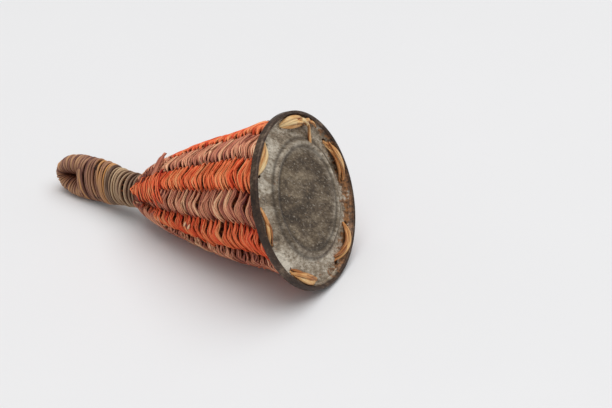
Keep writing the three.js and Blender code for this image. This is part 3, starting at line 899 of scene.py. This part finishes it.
def fan(straws, rng, middle, narrowest, start, above):
    """Long strands that lie over two stakes, each behind the one before, and close up towards the neck."""
    t = np.linspace(-1, 1, FAN_POINTS)
    sunk = FAN_SINK * rise(np.abs(t), *FAN_SUNK)
    for row in range(FAN_STRANDS):
        done = row / (FAN_STRANDS - 1)
        span = FAN_SPAN * mix(1.0, narrowest, done ** FAN_CLOSING) * rng.uniform(*FAN_SPAN_SHARE)
        angle = middle + span * t + rng.normal(0, FAN_TURN_SPREAD)
        bow = FAN_BOW * mix(1.0, FAN_BOW_NECK, done) * (1 - t * t - FAN_SETBACK)
        lean = FAN_LEAN * (1 - done) * t
        s = mix(start, FAN_END, done) + bow + lean + rng.normal(0, FAN_ROW_SPREAD)
        s = s + wander(rng, t, *FAN_WANDER)
        proud = above * (1 + FAN_RISE * done) + rng.uniform(0, FAN_PROUD)
        point_at = over_weave(s[:, None], angle[:, None], (proud - sunk)[:, None])
        wide = mix(*FAN_HALF_WIDTHS, done) * np.clip(FAN_FULLNESS - t * t, FAN_TIP, 1)
        wide = wide * rng.uniform(*FAN_WIDTH_SHARE)
        tint = rng.uniform(*FAN_TONE) + wander(rng, t, *FAN_TINT_WANDER)
        # Painted highlight on the strand's raised middle
        tint = tint + FAN_CREST_HIGHLIGHT * (1 - t * t)
        shade = smooth(FAN_SHADE - FAN_SINK_SHADE * sunk)
        straws.add(sweep(point_at, len(t), wide, FAN_THICK), tint, shade, DEEP_EDGE_SHADE)


def loose_end(straws, path, half, tint):
    """A loose strand through points given as distance, angle in degrees and height above the weave."""
    t = np.linspace(0, 1, LOOSE_POINTS)
    knots = np.linspace(0, 1, len(path))
    s, angle, above = [np.interp(t, knots, column)[:, None] for column in zip(*path)]
    point_at = over_weave(s, np.radians(angle), above, LOOSE_TILT)
    half_wide = half * tapered(len(t), *LOOSE_TAPER)
    straws.add(sweep(point_at, len(t), half_wide, LOOSE_THICK), tint)


def throat(straws, rng, phase):
    """Every other fan and, with the brown ones, the loose ends and the turns that show between the fans."""
    for k in range(phase, FANS, 2):
        fan(straws, rng, FIRST_FAN - TURN * k / FANS, *FAN_KINDS[phase])
    if phase == 0:
        return
    for path, half, tint in THROAT_ENDS:
        loose_end(straws, path, half, tint)
    turn = np.linspace(0, THROAT_TURNS, THROAT_TURNS * THROAT_STEPS)
    pitch = (NECK_BAND_START - THROAT_START) / THROAT_TURNS
    s = THROAT_START + pitch * turn + wander(rng, turn, *THROAT_WANDER)
    point_at = over_weave(s[:, None], TURN * turn[:, None], -THROAT_SINK)
    tint = THROAT_TONE + wander(rng, turn, *THROAT_TONE_WANDER)
    straws.add(sweep(point_at, len(turn), THROAT_FILL * pitch, THROAT_THICK), tint, THROAT_SHADE)


for course in range(COURSES):
    weft("orange", course, 0, ORANGE)
    weft("brown", course, 1, BROWN)


# Stakes and stitches


def smooth_through(t, knots, values):
    """A smooth curve through the values at the knots, parallel to its neighbours' chord at each."""
    slope = np.gradient(values, knots)
    low = np.clip(np.searchsorted(knots, t, "right") - 1, 0, len(knots) - 2)
    step = knots[low + 1] - knots[low]
    u = (t - knots[low]) / step
    ends = mix(values[low], values[low + 1], smooth(u))
    return ends + step * u * (1 - u) * ((1 - u) * slope[low] - u * slope[low + 1])


def splint(path, half, roll):
    """Rings of a flat splint over the lid: smooth through its points, pointed and rolled over."""
    knots = np.linspace(0, 1, len(path))
    t = np.linspace(0, 1, STITCH_POINTS)
    radius, angle, lift = [smooth_through(t, knots, np.array(column, float)) for column in zip(*path)]
    angle = np.radians(angle)
    middle = np.stack([radius * np.cos(angle), radius * np.sin(angle), PANEL_DEPTH - lift], -1)
    along = unit(np.gradient(middle, axis=0))
    level = unit(np.cross(along, [0.0, 0.0, -1.0]))
    upright = np.cross(level, along)
    rolled = mix(*roll, t)[:, None]
    side = level * np.cos(rolled) + upright * np.sin(rolled)
    out = upright * np.cos(rolled) - level * np.sin(rolled)
    wide = half * np.sin(math.pi * np.clip(t, STITCH_TIP, 1 - STITCH_TIP)) ** STITCH_BLUNTNESS
    thick = mix(*STITCH_THICKNESS, np.sin(math.pi * t))

    def point_at(across, above):
        return middle[:, None] + across[..., None] * side[:, None] + above[..., None] * out[:, None]

    return sweep(point_at, STITCH_POINTS, wide, thick, STITCH_SIDES)


def stake_and_stitch(k):
    """One doubled strand: two stakes in the wall and, over the lid, a stitch of several splints."""
    rng = np.random.default_rng([RANDOM_START, STITCH_STREAM, k])
    straws = Straws()
    s = np.linspace(STAKE_START, STAKE_END, STAKE_POINTS)
    ring = mix(STITCH_RING, stake_circle(s), smooth(s / STAKE_BEND_LENGTH))[:, None]
    for angle in (stake_angle(2 * k), stake_angle(2 * k + 1)):
        around = (angle + wander(rng, s, *STAKE_WANDER))[:, None]

        def point_at(wide, out):
            return place(s[:, None], around + wide / ring, ring + out)

        rings = sweep(point_at, len(s), stake_radius(s), STAKE_FLATNESS * stake_radius(s))
        # The stakes are painted dark, as the shade in the gaps of the weave
        straws.add(rings, *HIDDEN_TINT_SHADE)
    for path, half, roll, tint in STITCHES[k]:
        tints = tint + wander(rng, np.arange(STITCH_POINTS), *STITCH_TINT_WANDER)
        straws.add(splint(path, half, roll), tints, 1.0, DEEP_EDGE_SHADE)
    piece = straws.build(f"straw_strand_{k + 1}", NATURAL)
    dress(piece, f"stake_{k + 1}")


for k in range(STAKES // 2):
    stake_and_stitch(k)


# Lid


def lid_dents(x, y):
    """Small unevenness of the tin panel, in millimetres."""
    dents = np.zeros(x.size)
    for depth, reach, layer in DENTS:
        spots = zip(x.ravel() / reach, y.ravel() / reach)
        dents += [depth * noise.noise(Vector((a, b, layer))) for a, b in spots]
    return dents.reshape(x.shape)


def stamping(x, y):
    """How far the stamped ring and the crowned panel stand out, in millimetres."""
    reach = np.hypot(x - BEAD_CENTRE[0], y - BEAD_CENTRE[1])
    bead = BEAD_HEIGHT * np.cos(np.clip((reach - BEAD_RADIUS) / BEAD_WIDTH, -0.5, 0.5) * math.pi) ** 2
    return bead + PANEL_CROWN * (1 - smooth((reach - BEAD_RADIUS + CROWN_EDGE) / CROWN_FALL))


def lid_profile():
    """Radius and depth of the tin from the panel's middle over the rolled seam and back under the panel."""
    seam_inner = LID_RADIUS - SEAM_WIDTH
    seam_round = SEAM_WIDTH / 2
    skirt_inner = LID_RADIUS - SHEET - SKIRT_GAP
    foot = seam_inner - PANEL_WALL_LEAN
    panel = np.concatenate([
        np.linspace(PANEL_MIDDLE, foot - PANEL_FOOT - PANEL_FOOT_GAP, PANEL_POINTS),
        np.linspace(foot - PANEL_FOOT, foot, FOOT_POINTS)])
    front = np.stack([panel, np.full_like(panel, PANEL_DEPTH)], -1)
    wall = np.linspace((foot, PANEL_DEPTH), (seam_inner, seam_round), WALL_POINTS)[1:]
    turn = np.linspace(math.pi, 0, ROLL_POINTS)[1:-1]
    roll = np.stack([seam_inner + seam_round * (1 + np.cos(turn)), seam_round * (1 - np.sin(turn))], -1)
    side = np.linspace((LID_RADIUS, seam_round), (LID_RADIUS, SEAM_HEIGHT), SIDE_POINTS)
    skirt = np.array([
        (LID_RADIUS - SKIRT_CURL_IN, SEAM_HEIGHT + SKIRT_CURL_BACK),
        (skirt_inner, SEAM_HEIGHT - SKIRT_TUCK),
        (skirt_inner, SEAM_INSIDE),
        (seam_inner + SHEET, SEAM_INSIDE)])
    back = front[::-BACK_STRIDE] + np.array([0.0, SHEET])
    return np.concatenate([front, wall, roll, side, skirt, back])


def lathe(name, profile, dented=False):
    """A closed mesh of tin, turned round the lid's axis."""
    angle = TURN * np.arange(LID_SEGMENTS) / LID_SEGMENTS
    x = profile[:, None, 0] * np.cos(angle)
    y = profile[:, None, 0] * np.sin(angle)
    z = np.broadcast_to(profile[:, None, 1], x.shape).copy()
    if dented:
        fade = smooth((LID_RADIUS - DENT_MARGIN - np.hypot(x, y)) / DENT_FADE)
        z += lid_dents(x, y) * fade - stamping(x, y)
    grid = np.arange(x.size).reshape(x.shape)
    turned = np.roll(grid, -1, axis=1)
    faces = np.stack([grid[:-1], grid[1:], turned[1:], turned[:-1]], -1).reshape(-1, 4).tolist()
    faces += [grid[0].tolist(), grid[-1][::-1].tolist()]
    mesh = bpy.data.meshes.new(name)
    mesh.from_pydata(place_in_row(np.stack([x, y, z], -1).reshape(-1, 3)).tolist(), [], faces)
    mesh.materials.append(TIN)
    mesh.shade_smooth()
    mesh.update()
    return link(name, mesh)


def mark_lid_places(piece):
    """Keeps each point's place on the lid, in millimetres, for the tin's wear."""
    mesh = piece.data
    points = np.empty(3 * len(mesh.vertices))
    mesh.vertices.foreach_get("co", points)
    local = (points.reshape(-1, 3) - RIM_CENTRE) @ AXES.T / MM
    mesh.attributes.new("on_lid", "FLOAT_VECTOR", "POINT").data.foreach_set("vector", local.ravel())


def worn_metal(g, flat, radius, wear, wiped):
    """Grey tin with a dull olive middle, dark and pale specks, a darker line along both edges of the stamped
    ring and a dark seam.
    """
    metal = g.blend(g.span(radius, *DULL_MIDDLE), g.ramp(wear, MIDDLE_TONES), g.ramp(wear, OUTER_TONES))
    specks = g.noise(wiped, *SPECK_NOISE)
    metal = g.blend(g.span(specks, *DARK_SPECKS), metal, colour(*SPECK_DARK))
    metal = g.blend(g.span(specks, *PALE_SPECKS), metal, colour(*SPECK_PALE))
    from_middle = g.node("ShaderNodeVectorMath", {0: flat, 1: (*BEAD_CENTRE, 0.0)}, operation="DISTANCE")
    from_ring = g.math("ABSOLUTE", g.math("SUBTRACT", from_middle.outputs["Value"], BEAD_RADIUS))
    from_groove = g.math("ABSOLUTE", g.math("SUBTRACT", from_ring, BEAD_WIDTH / 2))
    metal = g.blend(g.span(from_groove, *GROOVE_SPAN), metal, colour(*GROOVE_COLOUR))
    return g.blend(g.span(radius, *SEAM_SPAN), metal, g.ramp(wear, SEAM_TONES))


def rust_cover(g, at, flat, radius):
    """Where rust covers the tin: in spots, more of them near the edge and most on one side."""
    side = g.node("ShaderNodeVectorMath", {0: flat, 1: RUST_SIDE}, operation="DOT_PRODUCT").outputs["Value"]
    rim = g.math("MULTIPLY", g.span(side, *RUST_SIDE_SPAN), g.span(radius, *RUST_RIM_SPAN))
    spots = g.noise(g.stretched(at, RUST_STRETCH), *RUST_NOISE)
    spots = g.math("ADD", spots, g.span(radius, *RUST_EDGE_SPAN))
    spots = g.math("ADD", spots, g.math("MULTIPLY", rim, RUST_RIM_GAIN))
    return g.math("MULTIPLY", g.span(spots, *RUST_SPAN), g.span(radius, *RUST_LIMIT))


def tin():
    """Old tinplate, worn in one direction and rusty near the edge."""
    g = Graph("old_tin")
    at = g.attribute("on_lid").outputs["Vector"]
    apart = g.node("ShaderNodeSeparateXYZ", {0: at})
    flat = g.node("ShaderNodeCombineXYZ", {0: apart.outputs[0], 1: apart.outputs[1], 2: 0.0}).outputs[0]
    radius = g.node("ShaderNodeVectorMath", {0: flat}, operation="LENGTH").outputs["Value"]
    wiped = g.stretched(at, WIPE_STRETCH)
    clouds = g.math("MULTIPLY", g.noise(wiped, *CLOUD_NOISE), CLOUD_SHARE)
    grain = g.noise(wiped, *GRAIN_NOISE)
    wear = g.math("ADD", clouds, g.math("MULTIPLY", grain, GRAIN_SHARE))
    rust = rust_cover(g, at, flat, radius)
    return g.surface(
        Base_Color=g.blend(rust, worn_metal(g, flat, radius, wear, wiped), g.ramp(grain, RUST_TONES)),
        Metallic=g.span(rust, *METAL_SPAN),
        Roughness=g.span(wear, *TIN_ROUGHNESS),
        Normal=g.bump(grain, *GRAIN_BUMP),
    )


TIN = tin()


def punch_hole(lid, rng, angle):
    """Cuts a ragged hole through the lid's panel on the ring of stitches."""
    turn = TURN * np.arange(HOLE_SIDES) / HOLE_SIDES
    reach = HOLE_RADIUS * (1 + rng.uniform(*HOLE_RAGGEDNESS, HOLE_SIDES))
    x = STITCH_RING * math.cos(angle) + reach * np.cos(turn)
    y = STITCH_RING * math.sin(angle) + reach * np.sin(turn)
    corners = np.concatenate([
        np.column_stack([x, y, np.full(HOLE_SIDES, PANEL_DEPTH + end)]) for end in PUNCH_ENDS])
    front = list(range(HOLE_SIDES))
    ahead = front[1:] + front[:1]
    faces = [[i, j, HOLE_SIDES + j, HOLE_SIDES + i] for i, j in zip(front, ahead)]
    faces += [front[::-1], [HOLE_SIDES + i for i in front]]
    mesh = bpy.data.meshes.new("punch")
    mesh.from_pydata(place_in_row(corners).tolist(), [], faces)
    mesh.update()
    punch = link("punch", mesh)
    cut = lid.modifiers.new("hole", "BOOLEAN")
    cut.object = punch
    cut.operation = "DIFFERENCE"
    bpy.context.view_layer.objects.active = lid
    bpy.ops.object.modifier_apply(modifier=cut.name)
    bpy.data.objects.remove(punch)


def tin_lid():
    lid = lathe("lid_of_tin", lid_profile(), dented=True)
    rng = np.random.default_rng([RANDOM_START, HOLE_STREAM])
    for k in range(STAKES):
        punch_hole(lid, rng, stake_angle(k))
    mark_lid_places(lid)
    dress(lid, "tin_lid")


def hoop():
    middle = LID_RADIUS - SEAM_WIDTH / 2
    inner = middle - SHEET / 2
    outer = middle + SHEET / 2
    front = SHEET + HOOP_CLEARANCE
    back = SEAM_HEIGHT + HOOP_BEHIND_SEAM
    piece = lathe("hoop_of_can", np.array([[inner, back], [inner, front], [outer, front], [outer, back]]))
    mark_lid_places(piece)
    dress(piece, "seam_hoop")


tin_lid()
hoop()


# Handle


def on_loop(s, u, v):
    c, n = math.cos(LOOP_TURN), math.sin(LOOP_TURN)
    return offset(s, u * c - v * n, u * n + v * c)


def band_point(s, turn, out):
    """A point on the windings: round over the neck, oval over both legs, and leaning to one side."""
    s = s + BAND_LEAN * rise(s, NECK_BAND_START, BAND_LEAN_LENGTH) * np.cos(turn - BAND_LEAN_SIDE)
    swell = rise(s, SWELL_START, SWELL_LENGTH)
    wide = mix(NECK_REACH, LOOP_RADIUS + LEG_HALF_WIDTH + BAND_SEAT, swell) + out
    deep = mix(NECK_REACH, LEG_BAND_DEPTH, swell) + out
    return on_loop(s, wide * np.cos(turn), deep * np.sin(turn))


def loop_point(bend, turn, out):
    """A point on the whipping of the fold: bend 0 is the rising leg, PI the folded one, turn 0 outside."""
    half = LEG_HALF_WIDTH + BAND_SEAT
    reach = [LOOP_RADIUS + half, LOOP_ASPECT * LOOP_RADIUS + half]
    across, along = [
        (far + near) / 2 + ((far - near) / 2 + out) * np.cos(turn)
        for far, near in zip(reach, (EYE_HALF_WIDTH, EYE_LENGTH))]
    deep = LEG_HALF_DEPTH + BAND_SEAT + out
    ahead = along * rounded(np.sin(bend), FOLD_BLUNTNESS)
    aside = across * rounded(np.cos(bend), FOLD_BLUNTNESS)
    return on_loop(BEND_CENTRE + ahead, -aside, deep * np.sin(turn))


def fold_bends(share):
    """Bends at these shares of the way round the fold, measured along its outside."""
    fine = np.linspace(-FOLD_OVERLAP, math.pi + FOLD_OVERLAP, FOLD_STEPS)
    steps = np.linalg.norm(np.diff(loop_point(fine, 0.0, 0.0), axis=0), axis=1)
    run = np.concatenate([[0], np.cumsum(steps)])
    return np.interp(run[-1] * share, run, fine)


def wind(straws, rng, start, end, strands, turns, fill, tone, spread, wobble):
    """Strands wound side by side over the handle, level at both ends, with a tone for each half turn."""
    pitch = (end - start) / turns
    all_turns = turns + LEVEL_TURNS
    turn = np.linspace(0, all_turns, all_turns * BAND_STEPS)
    half_turns = np.arange(2 * all_turns + 2)
    for strand in range(strands):
        climbed = np.clip(turn - LEVEL_TURNS / 2 + strand / strands, 0, turns)
        height = start + pitch * climbed + wander(rng, turn, BAND_WANDER_SPACING, wobble)
        tones = rng.uniform(-spread, spread, len(half_turns))
        tint = tone + np.interp(2 * turn, half_turns, tones)
        proud = wander(rng, turn, *BAND_PROUD_WANDER) - BAND_SINK

        def point_at(wide, out):
            return band_point(height[:, None] + wide, TURN * turn[:, None], proud[:, None] + out)

        half = fill / 2 * pitch / strands * (1 + wander(rng, turn, *BAND_WIDTH_WANDER))
        rings = sweep(point_at, len(turn), half * tapered(len(turn)), BAND_THICK / 2)
        straws.add(rings, tint, 1.0, DEEP_EDGE_SHADE)


def neck_winding(rng):
    neck = Straws()
    wind(neck, rng, *NECK_WINDING)
    dress(neck.build("olive_neck_binding", OLIVE), "neck_binding")


def leg_winding(rng):
    legs = Straws()
    wind(legs, rng, *OCHRE_WINDING)
    wind(legs, rng, *LEG_WINDING)
    dress(legs.build("brown_leg_binding", BOUND), "loop_binding")


def whipping(rng):
    """Straw wound round the fold, from one leg to the other."""
    whip = Straws()
    turn = np.linspace(0, WHIP_TURNS, WHIP_TURNS * WHIP_STEPS)
    evenly = fold_bends(turn / WHIP_TURNS)
    bend = evenly + wander(rng, turn, *WHIP_WANDER)
    whole_turns = np.arange(WHIP_TURNS + 2)
    tones = rng.uniform(*WHIP_TONE, len(whole_turns))
    proud = wander(rng, turn, *WHIP_PROUD_WANDER)

    def point_at(wide, out):
        return loop_point(bend[:, None] + wide, TURN * turn[:, None], proud[:, None] + out)

    outside = np.cos(TURN * turn)
    at_tip = rise(np.sin(bend), *TIP) * rise(outside, *TIP_OUTSIDE)
    tint = np.interp(turn, whole_turns, tones) + WHIP_TIP_TINT * at_tip
    rings = sweep(point_at, len(turn), WHIP_FILL * np.gradient(evenly, turn), WHIP_THICK)
    # Painted shade towards the eye
    whip.add(rings, tint, smooth(EYE_SHADE * (outside + 1)))
    dress(whip.build("loop_whipping_straw", BOUND), "loop_whipping")


def handle_core():
    """The bundle under the windings: the neck, the fold and both legs, painted dark as the shade between the
    windings.
    """
    core = Straws()
    turn = TURN * np.arange(CORE_SIDES) / CORE_SIDES
    s = np.linspace(CORE_START, LEG_BAND_END, CORE_POINTS)[:, None]
    core.add(band_point(s, turn, -BAND_SEAT - CORE_SINK), *CORE_TINT_SHADE)
    bend = fold_bends(np.linspace(*CORE_FOLD, CORE_FOLD_POINTS))[:, None]
    core.add(loop_point(bend, turn, -CORE_FOLD_SINK), *CORE_TINT_SHADE)
    s = np.linspace(SPLIT_START + CORE_SPLIT, BEND_CENTRE, CORE_LEG_POINTS)[:, None]
    reach = LOOP_RADIUS * rise(s, SPLIT_START, SPLIT_LENGTH) + LEG_HALF_WIDTH * np.cos(turn)
    for side in (-1, 1):
        core.add(on_loop(s, side * reach, LEG_HALF_DEPTH * np.sin(turn)), *CORE_TINT_SHADE)
    dress(core.build("handle_core_straw", CORE), "handle_core")


def handle():
    rng = np.random.default_rng([RANDOM_START, HANDLE_STREAM])
    neck_winding(rng)
    leg_winding(rng)
    whipping(rng)
    handle_core()


handle()


# Seeds


def seed_skin():
    g = Graph("seed_skin")
    at = g.node("ShaderNodeTexCoord").outputs["Object"]
    mottle = g.noise(at, *SEED_NOISE)
    return g.surface(
        Base_Color=g.ramp(mottle, SEED_TONES),
        Roughness=g.span(mottle, *SEED_ROUGHNESS),
        Normal=g.bump(mottle, *SEED_BUMP),
    )


SEED_SKIN = seed_skin()


def seed(name, body):
    """A rounded seed in the place of its plain solid."""
    solid = frame["nodes"][name]
    skin = bmesh.new()
    skin.from_mesh(solid.data)
    skin.transform(solid.matrix_world)
    bmesh.ops.remove_doubles(skin, verts=skin.verts, dist=SEED_WELD * MM)
    middle = sum((v.co for v in skin.verts), Vector()) / len(skin.verts)
    bmesh.ops.subdivide_edges(skin, edges=skin.edges, cuts=SEED_CUTS, use_grid_fill=True)
    every_axis = {f"use_axis_{axis}": True for axis in "xyz"}
    for _ in range(SEED_SMOOTHINGS):
        bmesh.ops.smooth_vert(skin, verts=skin.verts, factor=SEED_SMOOTHING, **every_axis)
    for v in skin.verts:
        v.co += (v.co - middle) * SEED_DENTS * noise.noise(v.co / (SEED_DENT_SPAN * MM))
    mesh = bpy.data.meshes.new(name)
    skin.to_mesh(mesh)
    skin.free()
    mesh.materials.append(SEED_SKIN)
    mesh.shade_smooth()
    dress(link(f"dry_{name}", mesh), name, body)


for body, nodes in frame["record"]["behaviour"]["bodies"].items():
    for name in nodes:
        if name.startswith("seed_"):
            seed(name, body)


# Floor, light and camera


def floor():
    corners = [(x * FLOOR_HALF, y * FLOOR_HALF, 0) for x, y in ((-1, -1), (1, -1), (1, 1), (-1, 1))]
    mesh = bpy.data.meshes.new("floor")
    mesh.from_pydata(corners, [], [(0, 1, 2, 3)])
    g = Graph("floor_paint")
    at = g.node("ShaderNodeTexCoord").outputs["Object"]
    tone = g.ramp(g.noise(at, FLOOR_NOISE), FLOOR_TONES)
    mesh.materials.append(
        g.surface(Base_Color=tone, Roughness=FLOOR_ROUGHNESS, Specular_IOR_Level=FLOOR_SPECULAR))
    link("floor", mesh)


def lamp(name, spot, size, power):
    """A square lamp that faces the origin."""
    data = bpy.data.lights.new(name, "AREA")
    data.shape = "SQUARE"
    data.size = size
    data.energy = power
    light = link(name, data)
    light.location = spot
    light.rotation_euler = (-Vector(spot)).to_track_quat("-Z", "Y").to_euler()


def sky():
    world = bpy.data.worlds.new("studio")
    world.use_nodes = True
    background = world.node_tree.nodes["Background"]
    background.inputs["Color"].default_value = SKY_COLOUR
    background.inputs["Strength"].default_value = SKY_STRENGTH
    bpy.context.scene.world = world


def camera():
    data = bpy.data.cameras.new("camera")
    data.lens = FOCAL_LENGTH
    data.sensor_width = SENSOR_WIDTH
    data.clip_start = CLIP_START
    az, el = VIEW_AZIMUTH, VIEW_ELEVATION
    back = np.array([math.sin(az) * math.cos(el), -math.cos(az) * math.cos(el), math.sin(el)])
    right = np.array([math.cos(az), math.sin(az), 0.0])
    lift = np.cross(back, right)
    spot = RIM_CENTRE + (back * VIEW_DISTANCE + right * VIEW_ASIDE + lift * VIEW_LIFT) * MM
    facing = Matrix(np.stack([right, lift, back], 1).tolist()).to_4x4()
    eye = link("camera", data)
    eye.matrix_world = Matrix.Translation(spot) @ facing
    bpy.context.scene.camera = eye


floor()
for name, settings in LAMPS.items():
    lamp(name, *settings)
sky()
camera()
bpy.context.scene.view_settings.view_transform = "Standard"
